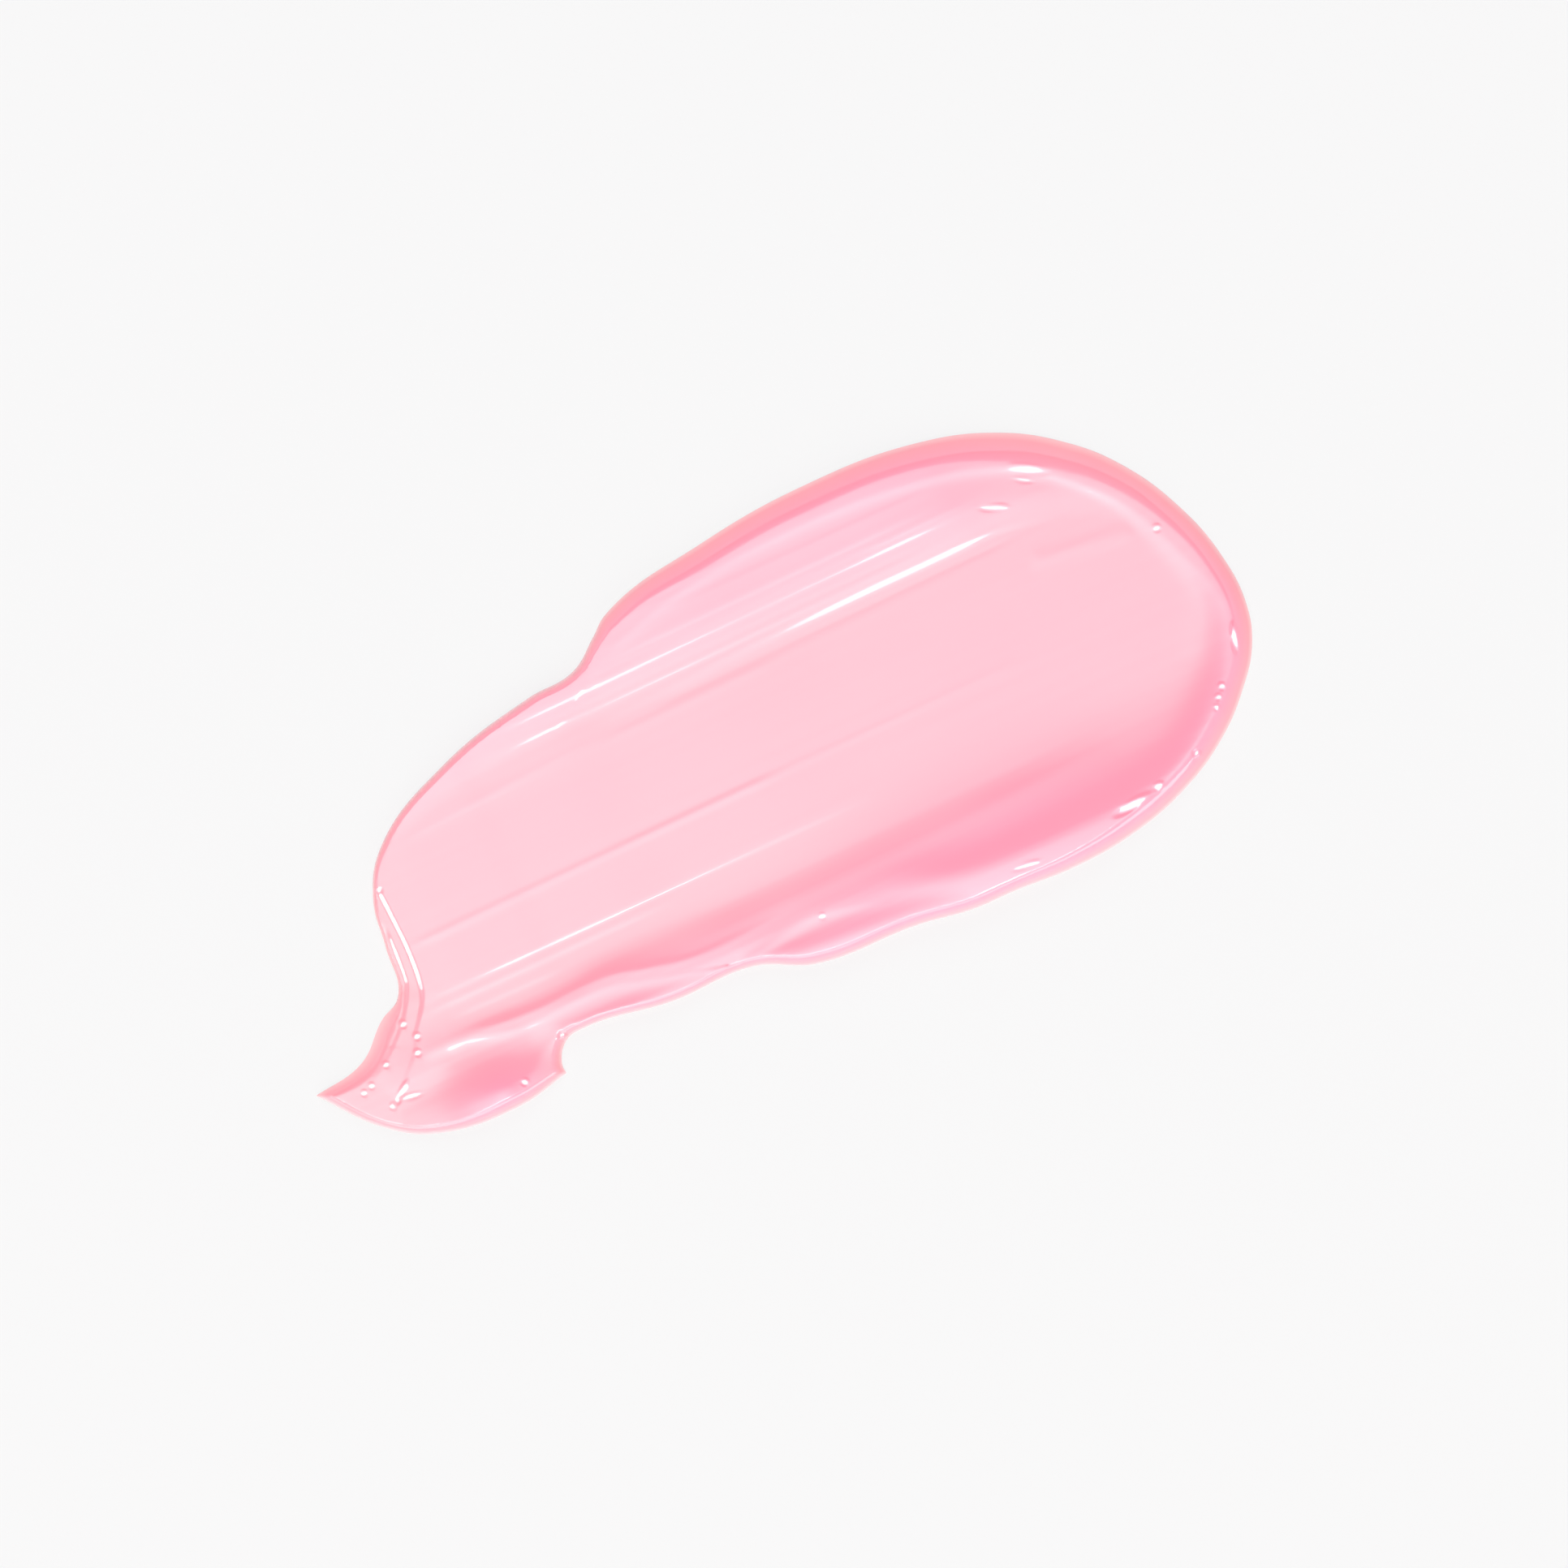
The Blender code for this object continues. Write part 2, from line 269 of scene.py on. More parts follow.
# The slope beyond it
UPPER_SLOPE = [
    (-17.5, 3.6, 0.00, 1.4),
    (-14.0, 4.6, 0.10, 1.9),
    (-8.0, 5.0, 0.105, 2.5),
    (0.0, 5.1, 0.09, 2.2),
    (8.0, 5.2, 0.08, 2.2),
    (14.0, 5.2, 0.110, 2.0),
    (19.5, 4.4, 0.045, 1.6),
    (22.5, 2.6, 0.00, 1.6),
]
# The folded lip at the tail end: two small drops to the left of the way they run
LIP_OUTER = [
    (-23.70, -6.73, 0.000, 0.28),
    (-22.10, -5.89, -0.020, 0.28),
    (-20.45, -4.45, -0.040, 0.28),
    (-19.52, -3.03, -0.068, 0.27),
    (-19.31, -2.25, -0.068, 0.27),
    (-19.20, -0.70, -0.068, 0.27),
    (-19.12, 0.50, 0.000, 0.27),
]
LIP_INNER = [
    (-21.90, -7.40, 0.000, 0.30),
    (-20.46, -6.01, -0.020, 0.30),
    (-20.11, -5.27, -0.030, 0.30),
    (-19.10, -3.96, -0.060, 0.33),
    (-18.72, -2.90, -0.091, 0.37),
    (-18.57, -1.19, -0.091, 0.37),
    (-18.60, 0.60, -0.091, 0.37),
    (-18.66, 1.90, -0.091, 0.37),
    (-18.80, 2.70, 0.000, 0.30),
]
# Where the thicker near side begins, running back towards the tail
BAND_STEP = [
    (17.0, -5.5, 0.000, 1.4),
    (12.0, -5.6, 0.042, 1.4),
    (8.0, -5.6, 0.036, 1.4),
    (4.0, -5.6, 0.044, 1.4),
    (0.0, -5.65, 0.048, 1.4),
    (-4.0, -5.55, 0.056, 1.4),
    (-8.0, -5.3, 0.035, 1.4),
    (-12.0, -5.3, 0.015, 1.4),
    (-15.0, -5.3, 0.000, 1.4),
]
STEPS = [TOOL_STEP, UPPER_SLOPE, LIP_OUTER, LIP_INNER, BAND_STEP]

# Fine ridges that the tool left along the stroke, or grooves where the height is below zero:
# (x and y where it starts, x and y where it ends, height, width)
RIDGES = [
    (-19.4, -1.10, 2.0, -1.05, 0.014, 0.20),
    (-8.0, -1.05, 15.5, -1.00, 0.005, 0.20),
    (-3.0, 4.55, 17.5, 4.60, -0.008, 0.18),
    (-14.0, 3.95, 4.0, 4.05, 0.006, 0.25),
    (-9.0, 5.95, 13.0, 6.05, -0.006, 0.14),
    (-6.0, 7.10, 11.0, 7.12, -0.007, 0.14),
    (-1.0, 8.60, 15.0, 8.45, 0.006, 0.20),
    (17.0, 3.20, 22.5, 2.40, 0.012, 0.40),
]
# Fine terraces in the same form, each with the film higher on its far side
TERRACES = [
    (-21.0, -4.00, 6.5, -4.18, 0.024, 0.25),
    (-20.5, -4.60, -5.0, -4.72, 0.017, 0.23),
    (-18.4, -5.30, -12.0, -5.42, 0.012, 0.24),
    (-14.0, 5.45, 19.0, 5.54, 0.018, 0.36),
    (-15.0, 6.42, 19.0, 6.56, 0.018, 0.36),
    (-4.0, 6.88, 18.0, 6.95, 0.014, 0.18),
    (-5.5, 7.36, 15.0, 7.42, 0.022, 0.26),
    (-18.0, 3.40, -4.0, 4.10, 0.012, 0.40),
    (-16.0, 4.80, -3.0, 6.00, 0.006, 0.30),
]
# The share of its length over which each fades out at either end
RIDGE_FADE = 0.1
TERRACE_FADE = 0.25

# Glints: (x, y, length, width, angle in degrees from the stroke)
GLINTS = [
    (18.97, 7.33, 2.0, 0.58, -33),
    (18.50, 6.98, 1.1, 0.30, -33),
    (24.64, -4.50, 1.5, 0.40, 72),
    (16.60, -9.80, 2.0, 0.52, 6),
    (18.16, -9.53, 0.60, 0.46, 8),
    (16.63, 6.33, 1.4, 0.40, -20),
    (23.06, -6.38, 0.40, 0.40, 0),
    (22.69, -6.79, 0.36, 0.36, 0),
    (22.40, -7.22, 0.36, 0.36, 0),
    (20.55, -8.83, 0.42, 0.42, 0),
    (23.45, 2.04, 0.46, 0.42, 0),
    (-20.52, -4.42, 0.40, 0.40, 0),
    (-20.15, -5.25, 0.40, 0.40, 0),
    (-20.46, -6.0, 0.40, 0.40, 0),
    (-22.12, -5.88, 0.36, 0.36, 0),
    (-23.21, -6.52, 0.36, 0.36, 0),
    (-23.69, -6.69, 0.36, 0.36, 0),
    (-22.66, -7.88, 0.40, 0.40, 0),
    (-16.28, -9.53, 0.40, 0.40, 0),
    (-13.63, -8.21, 0.40, 0.40, 0),
    (-18.80, 2.10, 0.40, 0.40, 0),
    (-22.00, -7.45, 1.3, 0.36, 39),
    (-21.64, -7.80, 1.2, 0.32, -9),
    (0.44, -8.32, 0.40, 0.36, 0),
    (10.60, -10.30, 1.4, 0.30, -4),
]
# How far a glint's own points reach from its centre, as a share of its size
GLINT_REACH = 0.7
# The higher this is, the flatter a glint and the sharper its rim
GLINT_FLATNESS = 3
# The outer share of the rounded edge, over which glints fade out
GLINT_FREE_EDGE = 0.25


def toward(image_x, image_y, up):
    """A direction in the frame from one in the picture: right, up in the picture, towards the camera."""
    c, s = math.cos(STROKE_SLANT), math.sin(STROKE_SLANT)
    return Vector((image_x * c + image_y * s, -image_x * s + image_y * c, up))


# The key light: how far it leans from straight above towards the picture's bottom, how far it goes to
# the right as a share of that, and its distance in metres
KEY_LEAN = math.radians(15)
KEY_SIDE = 0.10
KEY_DIRECTION = toward(KEY_SIDE * math.sin(KEY_LEAN), -math.sin(KEY_LEAN), math.cos(KEY_LEAN))
KEY_DISTANCE = 1.02


def smooth_rise(share):
    """A smooth climb from 0 to 1 as the share goes from 0 to 1, level before and after."""
    share = np.clip(share, 0.0, 1.0)
    return share * share * (3.0 - 2.0 * share)


def evenly_spaced(points, pitch):
    """The same line with points about one pitch apart, measured along it."""
    run = np.linalg.norm(np.diff(points, axis=0)[:, :2], axis=1)
    along = np.concatenate([[0.0], np.cumsum(run)])
    stops = np.linspace(0.0, along[-1], max(2, round(along[-1] / pitch)) + 1)
    return np.column_stack([np.interp(stops, along, column) for column in points.T])


def smooth_line(knots, pitch):
    """A smooth line through the knots, whose other columns are carried along with x and y."""
    knots = np.array(knots, float)
    before = np.vstack([2 * knots[0] - knots[1], knots[:-1]])
    after = np.vstack([knots[1:], 2 * knots[-1] - knots[-2]])
    slope = (after - before) / 2
    t = np.linspace(0.0, 1.0, LINE_STEPS + 1)[:-1, None]
    pieces = [
        (2 * t**3 - 3 * t**2 + 1) * a + (t**3 - 2 * t**2 + t) * ma
        + (3 * t**2 - 2 * t**3) * b + (t**3 - t**2) * mb
        for a, b, ma, mb in zip(knots, knots[1:], slope, slope[1:])
    ]
    return evenly_spaced(np.vstack([*pieces, knots[-1:]]), pitch)


def outline_points():
    """The outline as a smooth loop of (x, y, edge width), in millimetres, with its sharp points kept."""
    data = bpy.data.curves.new("outline", "CURVE")
    data.dimensions = "2D"
    spline = data.splines.new("BEZIER")
    spline.use_cyclic_u = True
    spline.bezier_points.add(len(OUTLINE) - 1)
    for point, (x, y, _, sharp) in zip(spline.bezier_points, OUTLINE):
        point.co = (x, y, 0.0)
        point.handle_left_type = point.handle_right_type = "VECTOR" if sharp else "AUTO"
    guide = bpy.data.objects.new("outline", data)
    bpy.context.scene.collection.objects.link(guide)
    bpy.context.view_layer.update()
    knots = spline.bezier_points
    stretches = []
    widths = [width for _, _, width, _ in OUTLINE]
    starts = zip(knots, widths, [sharp for *_, sharp in OUTLINE])
    ends = zip([*knots[1:], knots[0]], [*widths[1:], widths[0]])
    for (knot, width, sharp), (following, next_width) in zip(starts, ends):
        if sharp or not stretches:
            stretches.append([])
        handles = (knot.handle_right, following.handle_left)
        curve = geometry.interpolate_bezier(knot.co, *handles, following.co, OUTLINE_STEPS)
        edge = np.linspace(width, next_width, OUTLINE_STEPS)
        stretches[-1] += [(p.x, p.y, w) for p, w in zip(curve[:-1], edge)]
    loop = [
        evenly_spaced(np.array([*stretch, following[0]]), EDGE_PITCH)[:-1]
        for stretch, following in zip(stretches, [*stretches[1:], stretches[0]])
    ]
    bpy.data.objects.remove(guide)
    return np.vstack(loop)


def closed_loop(outline):
    """The outline with its first point again at its end."""
    return np.vstack([outline, outline[:1]])


def nearest_on_line(points, line):
    """For each point: how far the line is, which side the point is on, and where its foot lies."""
    starts, run = line[:-1, :2], np.diff(line[:, :2], axis=0)
    square = (run**2).sum(1)
    distance, side, foot = (np.empty(len(points)) for _ in range(3))
    for first in range(0, len(points), POINTS_AT_ONCE):
        part = slice(first, first + POINTS_AT_ONCE)
        to_point = points[part, None, :] - starts[None, :, :]
        share = np.clip((to_point * run).sum(2) / square, 0.0, 1.0)
        offset = to_point - share[:, :, None] * run
        away = (offset**2).sum(2)
        best = away.argmin(1)
        row = np.arange(len(best))
        distance[part] = np.sqrt(away[row, best])
        side[part] = run[best, 0] * offset[row, best, 1] - run[best, 1] * offset[row, best, 0]
        foot[part] = best + share[row, best]
    return distance, side, foot


def crest_height(points, crest, right_width):
    """How much a crest adds at each point: a smooth ridge with its own slope on either side."""
    line = smooth_line(crest, LINE_PITCH)
    distance, side, foot = nearest_on_line(points, line)
    places = np.arange(len(line))
    height = np.interp(foot, places, line[:, 2])
    width = np.where(side > 0, np.interp(foot, places, line[:, 3]), right_width)
    return height * np.exp(-((distance / width) ** 2))


def step_height(points, step):
    """How much higher the film stands on the left of a line, past the width of its drop."""
    line = smooth_line(step, LINE_PITCH)
    distance, side, foot = nearest_on_line(points, line)
    places = np.arange(len(line))
    drop = np.interp(foot, places, line[:, 2])
    width = np.interp(foot, places, line[:, 3])
    return drop * smooth_rise(np.where(side > 0, distance, -distance) / width)


def along_and_across(points, x0, y0, x1, y1):
    """Where each point lies by a straight line: the share of its length, and how far to its left."""
    run = np.array([x1 - x0, y1 - y0])
    length = np.linalg.norm(run)
    offset = points - (x0, y0)
    return offset @ run / length**2, offset @ np.array([-run[1], run[0]]) / length


def fading_ends(along, reach):
    """1 along a line, falling smoothly to 0 at either end over this share of its length."""
    return smooth_rise(np.minimum(along, 1.0 - along) / reach)


def streak_height(points):
    """The fine ridges and terraces, each fading out towards its two ends."""
    height = np.zeros(len(points))
    for *line, top, width in RIDGES:
        along, across = along_and_across(points, *line)
        height += top * fading_ends(along, RIDGE_FADE) * np.exp(-((across / width) ** 2))
    for *line, drop, width in TERRACES:
        along, across = along_and_across(points, *line)
        height += drop * fading_ends(along, TERRACE_FADE) * smooth_rise(across / width)
    return height


def edge_share(points, outline):
    """How far each point is into the rounded edge: 0 on the outline, 1 where it has fully risen."""
    closed = closed_loop(outline)
    distance, _, foot = nearest_on_line(points, closed)
    width = np.interp(foot, np.arange(len(closed)), closed[:, 2])
    return np.clip(distance / width, 0.0, 1.0)


def plain_height(points, outline):
    """The gloss's height over each point, in millimetres, before the glints are pressed flat."""
    share = edge_share(points, outline)
    rounding = share * (2.0 - share)
    tail, head = outline[:, 0].min(), outline[:, 0].max()
    along = (points[:, 0] - tail) / (head - tail)
    height = FILM_AT_TAIL + (FILM_AT_HEAD - FILM_AT_TAIL) * along
    for crest, right_width in CRESTS:
        height = height + crest_height(points, crest, right_width)
    for step in STEPS:
        height = height + step_height(points, step)
    return rounding * (height + streak_height(points))


def glint_axes(angle):
    """The two directions of a glint: along it and across it."""
    c, s = math.cos(math.radians(angle)), math.sin(math.radians(angle))
    return np.array([c, s]), np.array([-s, c])


def smear_height(points, outline):
    """The gloss's height with its glints: small spots that lie flat towards the key light."""
    height = plain_height(points, outline)
    off_edge = np.clip(edge_share(points, outline) / GLINT_FREE_EDGE, 0.0, 1.0)
    centres = np.array([glint[:2] for glint in GLINTS])
    levels = plain_height(centres, outline)
    half_way = KEY_DIRECTION.normalized() + Vector((0.0, 0.0, 1.0))
    slope = -np.array([half_way.x, half_way.y]) / half_way.z
    for (x, y, length, width, angle), level in zip(GLINTS, levels):
        lengthwise, sideways = glint_axes(angle)
        offset = points - (x, y)
        along = 2 * (offset @ lengthwise) / length
        across = 2 * (offset @ sideways) / width
        weight = np.exp(-((along**2 + across**2) ** GLINT_FLATNESS))
        height = height + off_edge * weight * (level + offset @ slope - height)
    return height


def inside(points, outline):
    """Whether each point is inside the outline, by counting the crossings of a line to its right."""
    ax, ay = outline[:, :2].T
    bx, by = np.roll(outline[:, :2], -1, axis=0).T
    rise = np.where(by == ay, 1.0, by - ay)
    found = np.empty(len(points), bool)
    for first in range(0, len(points), POINTS_AT_ONCE):
        part = slice(first, first + POINTS_AT_ONCE)
        x, y = points[part, :1], points[part, 1:]
        spans = (ay > y) != (by > y)
        crossing = ax + (y - ay) / rise * (bx - ax)
        found[part] = ((spans & (x < crossing)).sum(1) % 2) == 1
    return found


def well_inside(points, outline):
    """The points that lie inside the outline and a glint's pitch clear of it."""
    points = points[inside(points, outline)]
    return points[nearest_on_line(points, closed_loop(outline))[0] > GLINT_PITCH]


def edge_rows(outline):
    """Rows of points that follow the outline: some close to it, and two where the edge has risen."""
    loop, widths = outline[:, :2], outline[:, 2]
    tangent = np.roll(loop, -1, axis=0) - np.roll(loop, 1, axis=0)
    tangent /= np.linalg.norm(tangent, axis=1)[:, None]
    inward = np.column_stack([tangent[:, 1], -tangent[:, 0]])
    depths = [np.full(len(outline), share * EDGE_PITCH) for share in EDGE_ROWS]
    rows = []
    for depth in (*depths, widths - EDGE_TURN, widths + EDGE_TURN):
        row = loop + inward * depth[:, None]
        clear = nearest_on_line(row, closed_loop(outline))[0] > ROW_CLEARANCE * depth
        rows.append(row[clear & inside(row, outline)])
    return rows


def even_net(outline):
    """An even net of points inside the outline, clear of the rows that follow its edge."""
    low, high = outline[:, :2].min(0), outline[:, :2].max(0)
    columns = np.arange(low[0], high[0], NET_PITCH_ALONG)
    lines = np.arange(low[1], high[1], NET_PITCH_ACROSS)
    shifts = [(k % 2) * NET_PITCH_ALONG / 2 for k in range(len(lines))]
    net = np.array([(x + shift, y) for shift, y in zip(shifts, lines) for x in columns])
    net = net[inside(net, outline)]
    closed = closed_loop(outline)
    depth, _, foot = nearest_on_line(net, closed)
    from_turn = np.abs(depth - np.interp(foot, np.arange(len(closed)), closed[:, 2]))
    past_rows = depth > EDGE_ROWS[-1] * EDGE_PITCH + NET_CLEARANCE * NET_PITCH_ACROSS
    return net[past_rows & (from_turn > 2 * EDGE_TURN)]


def lip_strip(line, outline):
    """Close rows of points along the line of a lip."""
    way = np.gradient(line, axis=0)
    way /= np.linalg.norm(way, axis=1)[:, None]
    left = np.column_stack([-way[:, 1], way[:, 0]])
    return well_inside(np.vstack([line + left * reach for reach in LIP_ROWS]), outline)


def net_points(outline):
    """Points for the top: rows along the edge, and an even net with closer points at lips and glints."""
    net = even_net(outline)
    strips = []
    for lip in (LIP_INNER, LIP_OUTER):
        line = smooth_line(lip, LIP_PITCH)[:, :2]
        strips.append(lip_strip(line, outline))
        net = net[nearest_on_line(net, line)[0] > LIP_ROWS[-1] + GLINT_PITCH]
    net = np.vstack([net, *strips])
    for x, y, length, width, angle in GLINTS:
        lengthwise, sideways = glint_axes(angle)
        reaches = GLINT_REACH * length, GLINT_REACH * width
        steps = [np.arange(-reach, reach + GLINT_PITCH, GLINT_PITCH) for reach in reaches]
        along, across = (axis.reshape(-1, 1) for axis in np.meshgrid(*steps))
        spot = well_inside((x, y) + along * lengthwise + across * sideways, outline)
        offset = net - (x, y)
        clear_along = np.abs(offset @ lengthwise) > reaches[0] + GLINT_PITCH
        clear_across = np.abs(offset @ sideways) > reaches[1] + GLINT_PITCH
        net = np.vstack([net[clear_along | clear_across], spot])
    return np.vstack([*edge_rows(outline), net])


def gloss_mesh(outline):
    """The smear as a closed mesh: a fine net raised to the gloss's height, on a flat underside."""
    points = np.vstack([outline[:, :2], net_points(outline)])
    count = len(outline)
    edges = [(k, (k + 1) % count) for k in range(count)]
    corners = [Vector(p) for p in points]
    inside_only = 1
    net = geometry.delaunay_2d_cdt(corners, edges, [list(range(count))], inside_only, SAME_POINT)
    flat = np.array([tuple(p) for p in net[0]])
    height = smear_height(flat, outline)
    mesh = bpy.data.meshes.new("gloss_smear")
    places = np.column_stack([flat, height]) * MM
    mesh.from_pydata(places.tolist(), [], [list(f) for f in net[2]])
    built = bmesh.new()
    built.from_mesh(mesh)
    rim = [edge for edge in built.edges if edge.is_boundary]
    bmesh.ops.contextual_create(built, geom=rim)
    bmesh.ops.recalc_face_normals(built, faces=built.faces)
    built.to_mesh(mesh)
    built.free()
    thickness = mesh.attributes.new("thickness", "FLOAT", "POINT")
    thickness.data.foreach_set("value", height.astype(np.float32))
    mesh.shade_smooth()
    mesh.set_sharp_from_angle(angle=SHARP_TURN)
    return mesh


# The gloss's colour at a few depths, in millimetres
GLOSS_BY_DEPTH = [
    (0.0, (0.99, 0.55, 0.60, 1.0)),
    (0.3, (0.985, 0.355, 0.430, 1.0)),
    (0.9, (0.985, 0.322, 0.457, 1.0)),
]
# The pigment's faint clouds and the drag lines of the tool: how many to a metre along, across and up
CLOUDS_PER_METRE = (120.0, 320.0, 320.0)
PIGMENT_CLOUD = (1.0, 0.95, 0.97, 1.0)
DRAG_LINES_PER_METRE = (45.0, 1900.0, 45.0)
# How deep the drag lines are, in metres
DRAG_LINE_DEPTH = 0.000006


def colour_ramp(tree, value, stops):
    """The colour for a value, blended between stops of (value, colour)."""
    ramp = tree.nodes.new("ShaderNodeValToRGB")
    for _ in stops[2:]:
        ramp.color_ramp.elements.new(0.5)
    for element, (place, colour) in zip(ramp.color_ramp.elements, stops):
        element.position = place
        element.color = colour
    tree.links.new(value, ramp.inputs["Fac"])
    return ramp.outputs["Color"]


def stretched_noise(tree, where, per_metre):
    """Soft noise in the smear's own frame, with its own fineness along, across and up."""
    stretch = tree.nodes.new("ShaderNodeMapping")
    stretch.inputs["Scale"].default_value = per_metre
    tree.links.new(where.outputs["Object"], stretch.inputs["Vector"])
    noise = tree.nodes.new("ShaderNodeTexNoise")
    noise.inputs["Scale"].default_value = 1.0
    noise.inputs["Detail"].default_value = 1.0
    tree.links.new(stretch.outputs["Vector"], noise.inputs["Vector"])
    return noise.outputs["Fac"]


def gloss_material():
    """Wet pink gloss: deep where it lies thick, paler where it thins out at its edges."""
    material = bpy.data.materials.new("pink_gloss")
    material.use_nodes = True
    tree = material.node_tree
    shader = tree.nodes["Principled BSDF"]
    shader.inputs["Roughness"].default_value = 0.08
    shader.inputs["IOR"].default_value = 1.47
    shader.inputs["Coat Weight"].default_value = 1.0
    shader.inputs["Coat Roughness"].default_value = 0.03
    thickness = tree.nodes.new("ShaderNodeAttribute")
    thickness.attribute_name = "thickness"
    tint = colour_ramp(tree, thickness.outputs["Fac"], GLOSS_BY_DEPTH)
    where = tree.nodes.new("ShaderNodeTexCoord")
    clouds = stretched_noise(tree, where, CLOUDS_PER_METRE)
    deeper = tree.nodes.new("ShaderNodeMix")
    deeper.data_type = "RGBA"
    deeper.blend_type = "MULTIPLY"
    deeper.inputs["B"].default_value = PIGMENT_CLOUD
    tree.links.new(clouds, deeper.inputs["Factor"])
    tree.links.new(tint, deeper.inputs["A"])
    tree.links.new(deeper.outputs["Result"], shader.inputs["Base Color"])
    drag = tree.nodes.new("ShaderNodeBump")
    drag.inputs["Strength"].default_value = 1.0
    drag.inputs["Distance"].default_value = DRAG_LINE_DEPTH
    tree.links.new(stretched_noise(tree, where, DRAG_LINES_PER_METRE), drag.inputs["Height"])
    tree.links.new(drag.outputs["Normal"], shader.inputs["Normal"])
    tree.links.new(drag.outputs["Normal"], shader.inputs["Coat Normal"])
    return material


# How bright each card is from the picture's bottom to its top, and from its left to its right
SOFTBOX_UP = [
    (0.0, 1.0), (0.20, 0.80), (0.333, 0.84), (0.40, 1.0), (0.427, 0.95),
    (0.533, 0.57), (0.60, 0.25), (0.647, 0.03), (0.667, 0.0), (1.0, 0.0),
]
SOFTBOX_ACROSS = [
    (0.0, 0.10), (0.22, 0.30), (0.42, 1.0), (0.485, 1.0), (0.54, 0.87), (0.85, 0.38), (1.0, 0.26),
]
KEY_UP = [(0.0, 0.6), (0.25, 1.0), (0.75, 1.0), (1.0, 0.6)]
KEY_ACROSS = [(0.0, 0.6), (0.15, 1.0), (0.85, 1.0), (1.0, 0.6)]
SIDE_BOTH = [(0.0, 0.5), (0.3, 1.0), (0.7, 1.0), (1.0, 0.5)]
LOW_UP = [(0.0, 0.8), (1.0, 1.0)]
LOW_ACROSS = [(0.0, 0.45), (0.19, 0.82), (0.45, 0.86), (1.0, 1.0)]
# How far the low card leans, and the colour of every card
LOW_LEAN = math.radians(65)
WARM_WHITE = (1.0, 0.98, 0.91)

# The cards: name, place and size in metres, the two ramps above, strength, and lean
LIGHT_CARDS = [
    ("softbox", toward(0.0, -0.075, 1.05), (1.38, 2.25), SOFTBOX_UP, SOFTBOX_ACROSS, 5.0, 0.0),
    ("key_light", KEY_DIRECTION * KEY_DISTANCE, (0.39, 0.15), KEY_UP, KEY_ACROSS, 10.5, 0.0),
    ("side_light", toward(-0.66, -0.31, 0.87), (0.28, 0.36), SIDE_BOTH, SIDE_BOTH, 11.5, 0.0),
    ("low_softbox", toward(0.45, -1.50, 0.66), (3.30, 0.90), LOW_UP, LOW_ACROSS, 4.2, LOW_LEAN),
]

# The fill light, which the gloss doesn't mirror: its side and place in metres, and its power in watts
FILL_SIDE = 1.2
FILL_PLACE = toward(0.0, 1.46, 1.02)
FILL_POWER = 19.5

# The floor: its side in metres, how far it lies under the smear in millimetres, its colour, and the
# even white that makes up this share of what the camera sees of it
FLOOR_SIDE = 3.0
FLOOR_DROP = 0.02
FLOOR_COLOUR = (0.9, 0.9, 0.9, 1.0)
FLOOR_WHITE = (0.882, 0.882, 0.898, 1.0)
FLOOR_EVEN_SHARE = 0.82

# The surround: how strongly it lights the smear, and the grey that is seen of it
WORLD_STRENGTH = 0.12
WORLD_SEEN = (0.94, 0.94, 0.94, 1.0)

# The nearest that the camera sees, in millimetres
CLIP_START = 1.0


def glow_ramp(tree, coordinate, stops):
    """How bright a card is along one of its sides, from stops of (place, brightness)."""
    return colour_ramp(tree, coordinate, [(place, (level, level, level, 1.0)) for place, level in stops])


def flat_square(name, side):
    """A square mesh that lies flat, centred on its own origin."""
    mesh = bpy.data.meshes.new(name)
    built = bmesh.new()
    bmesh.ops.create_grid(built, x_segments=1, y_segments=1, size=side / 2)
    built.to_mesh(mesh)
    built.free()
    return mesh


def light_card(name, centre, size, up, across, strength, lean):
    """A soft light: a glowing card over the smear, its sides along the picture's sides."""
    mesh = flat_square(name, 1.0)
    card = bpy.data.objects.new(name, mesh)
    bpy.context.scene.collection.objects.link(card)
    card.location = centre
    card.scale = (size[0], size[1], 1.0)
    card.rotation_euler = (lean, 0.0, -STROKE_SLANT)
    material = bpy.data.materials.new(name)
    material.use_nodes = True
    tree = material.node_tree
    tree.nodes.clear()
    where = tree.nodes.new("ShaderNodeTexCoord")
    split = tree.nodes.new("ShaderNodeSeparateXYZ")
    tree.links.new(where.outputs["Generated"], split.inputs[0])
    both = tree.nodes.new("ShaderNodeVectorMath")
    both.operation = "MULTIPLY"
    tree.links.new(glow_ramp(tree, split.outputs["Y"], up), both.inputs[0])
    tree.links.new(glow_ramp(tree, split.outputs["X"], across), both.inputs[1])
    warm = tree.nodes.new("ShaderNodeVectorMath")
    warm.operation = "MULTIPLY"
    warm.inputs[1].default_value = WARM_WHITE
    tree.links.new(both.outputs[0], warm.inputs[0])
    glow = tree.nodes.new("ShaderNodeEmission")
    glow.inputs["Strength"].default_value = strength
    tree.links.new(warm.outputs[0], glow.inputs["Color"])
    out = tree.nodes.new("ShaderNodeOutputMaterial")
    tree.links.new(glow.outputs[0], out.inputs["Surface"])
    mesh.materials.append(material)
    card.visible_camera = False


def seen_directly(tree):
    """1 for what the camera sees, straight or in the gloss, and 0 for the light that falls on things."""
    rays = tree.nodes.new("ShaderNodeLightPath")
    seen = rays.outputs["Is Camera Ray"]
    for name in ("Is Glossy Ray", "Is Transmission Ray"):
        either = tree.nodes.new("ShaderNodeMath")
        either.operation = "MAXIMUM"
        tree.links.new(seen, either.inputs[0])
        tree.links.new(rays.outputs[name], either.inputs[1])
        seen = either.outputs[0]
    return seen


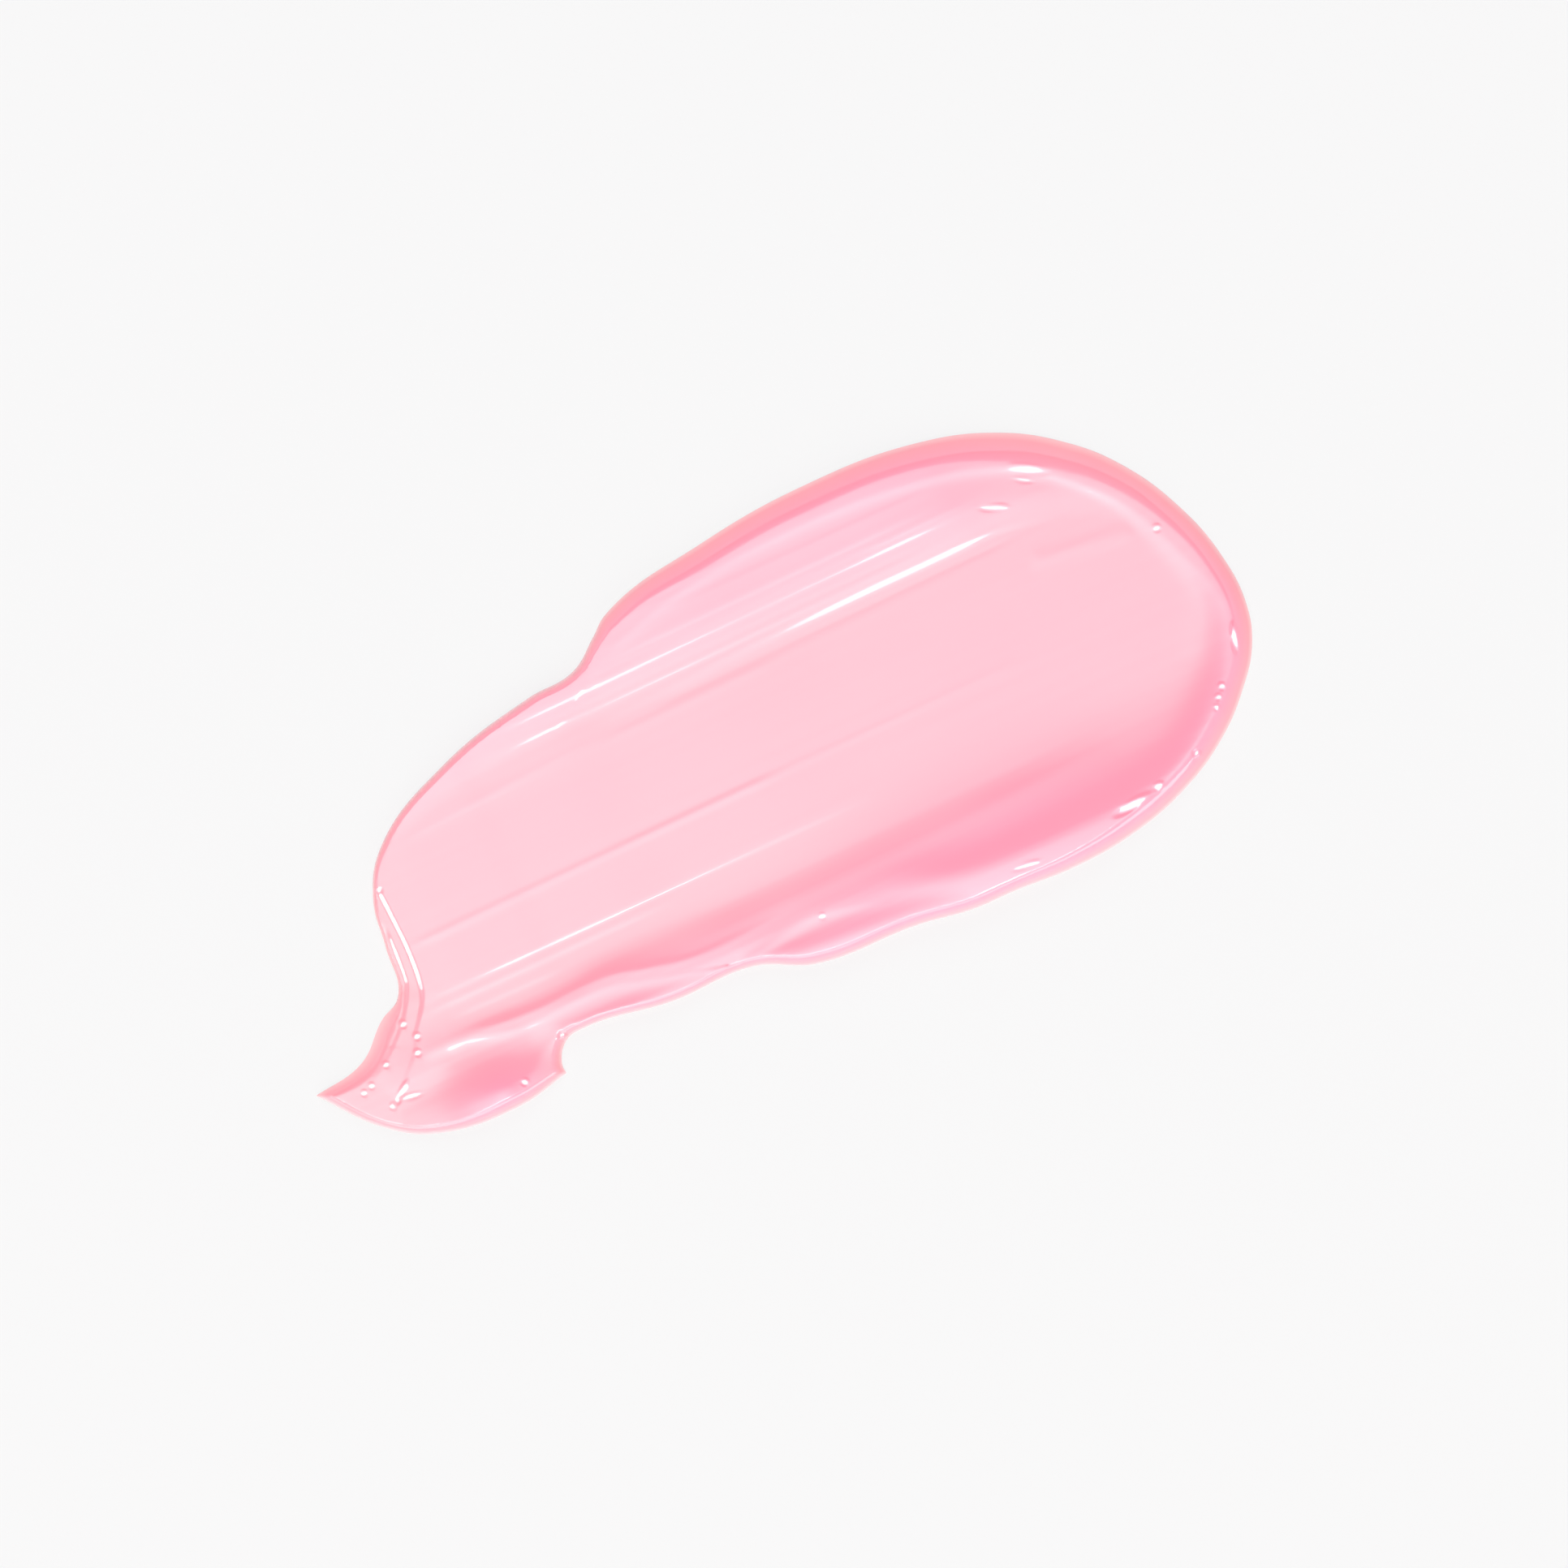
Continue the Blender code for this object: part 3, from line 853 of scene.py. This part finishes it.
def floor_material():
    """Pale paper. The camera sees it evenly white, with part of the smear's own shade left on it."""
    paper = bpy.data.materials.new("pale_floor")
    paper.use_nodes = True
    tree = paper.node_tree
    shader = tree.nodes["Principled BSDF"]
    shader.inputs["Base Color"].default_value = FLOOR_COLOUR
    shader.inputs["Roughness"].default_value = 0.9
    shader.inputs["Specular IOR Level"].default_value = 0.0
    even = tree.nodes.new("ShaderNodeEmission")
    even.inputs["Color"].default_value = FLOOR_WHITE
    share = tree.nodes.new("ShaderNodeMath")
    share.operation = "MULTIPLY"
    share.inputs[1].default_value = FLOOR_EVEN_SHARE
    mix = tree.nodes.new("ShaderNodeMixShader")
    tree.links.new(seen_directly(tree), share.inputs[0])
    tree.links.new(share.outputs[0], mix.inputs["Fac"])
    tree.links.new(shader.outputs[0], mix.inputs[1])
    tree.links.new(even.outputs[0], mix.inputs[2])
    tree.links.new(mix.outputs[0], tree.nodes["Material Output"].inputs["Surface"])
    return paper


def pale_world():
    """A pale surround to look at, which lights the smear only a little."""
    world = bpy.data.worlds.new("studio")
    world.use_nodes = True
    tree = world.node_tree
    lit = tree.nodes["Background"]
    lit.inputs["Color"].default_value = (1.0, 1.0, 1.0, 1.0)
    lit.inputs["Strength"].default_value = WORLD_STRENGTH
    pale = tree.nodes.new("ShaderNodeBackground")
    pale.inputs["Color"].default_value = WORLD_SEEN
    mix = tree.nodes.new("ShaderNodeMixShader")
    tree.links.new(seen_directly(tree), mix.inputs["Fac"])
    tree.links.new(lit.outputs[0], mix.inputs[1])
    tree.links.new(pale.outputs[0], mix.inputs[2])
    tree.links.new(mix.outputs[0], tree.nodes["World Output"].inputs["Surface"])
    return world


def pale_floor():
    """The sheet that the smear lies on."""
    mesh = flat_square("floor", FLOOR_SIDE)
    floor = bpy.data.objects.new("floor", mesh)
    floor.location.z = -FLOOR_DROP * MM
    bpy.context.scene.collection.objects.link(floor)
    mesh.materials.append(floor_material())


def fill_light():
    """A broad light from the picture's top, turned towards the smear."""
    fill = bpy.data.objects.new("fill_light", bpy.data.lights.new("fill_light", "AREA"))
    fill.data.size = FILL_SIDE
    fill.data.energy = FILL_POWER
    fill.location = FILL_PLACE
    fill.rotation_euler = fill.location.to_track_quat("Z", "Y").to_euler()
    fill.visible_glossy = False
    bpy.context.scene.collection.objects.link(fill)


def photo_camera():
    """The photograph's camera: straight above, turned to give the stroke its slant."""
    camera = bpy.data.objects.new("camera", bpy.data.cameras.new("camera"))
    camera.data.lens = LENS
    camera.data.sensor_width = SENSOR
    distance = PHOTO_SIDE * PIXEL * MM * LENS / SENSOR
    camera.location = (PICTURE_CENTRE[0] * MM, PICTURE_CENTRE[1] * MM, distance)
    camera.rotation_euler = (0.0, 0.0, -STROKE_SLANT)
    camera.data.clip_start = CLIP_START * MM
    bpy.context.scene.collection.objects.link(camera)
    return camera


def studio():
    """The floor, the lights and the camera."""
    scene = bpy.context.scene
    pale_floor()
    scene.world = pale_world()
    for card in LIGHT_CARDS:
        light_card(*card)
    fill_light()
    scene.camera = photo_camera()
    scene.view_settings.view_transform = "Standard"


def main():
    """Build the smear and its studio."""
    smear = bpy.data.objects.new("pink_gloss", gloss_mesh(outline_points()))
    bpy.context.scene.collection.objects.link(smear)
    smear.data.materials.append(gloss_material())
    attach(smear, "root")
    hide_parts("gloss_smear")
    studio()


main()
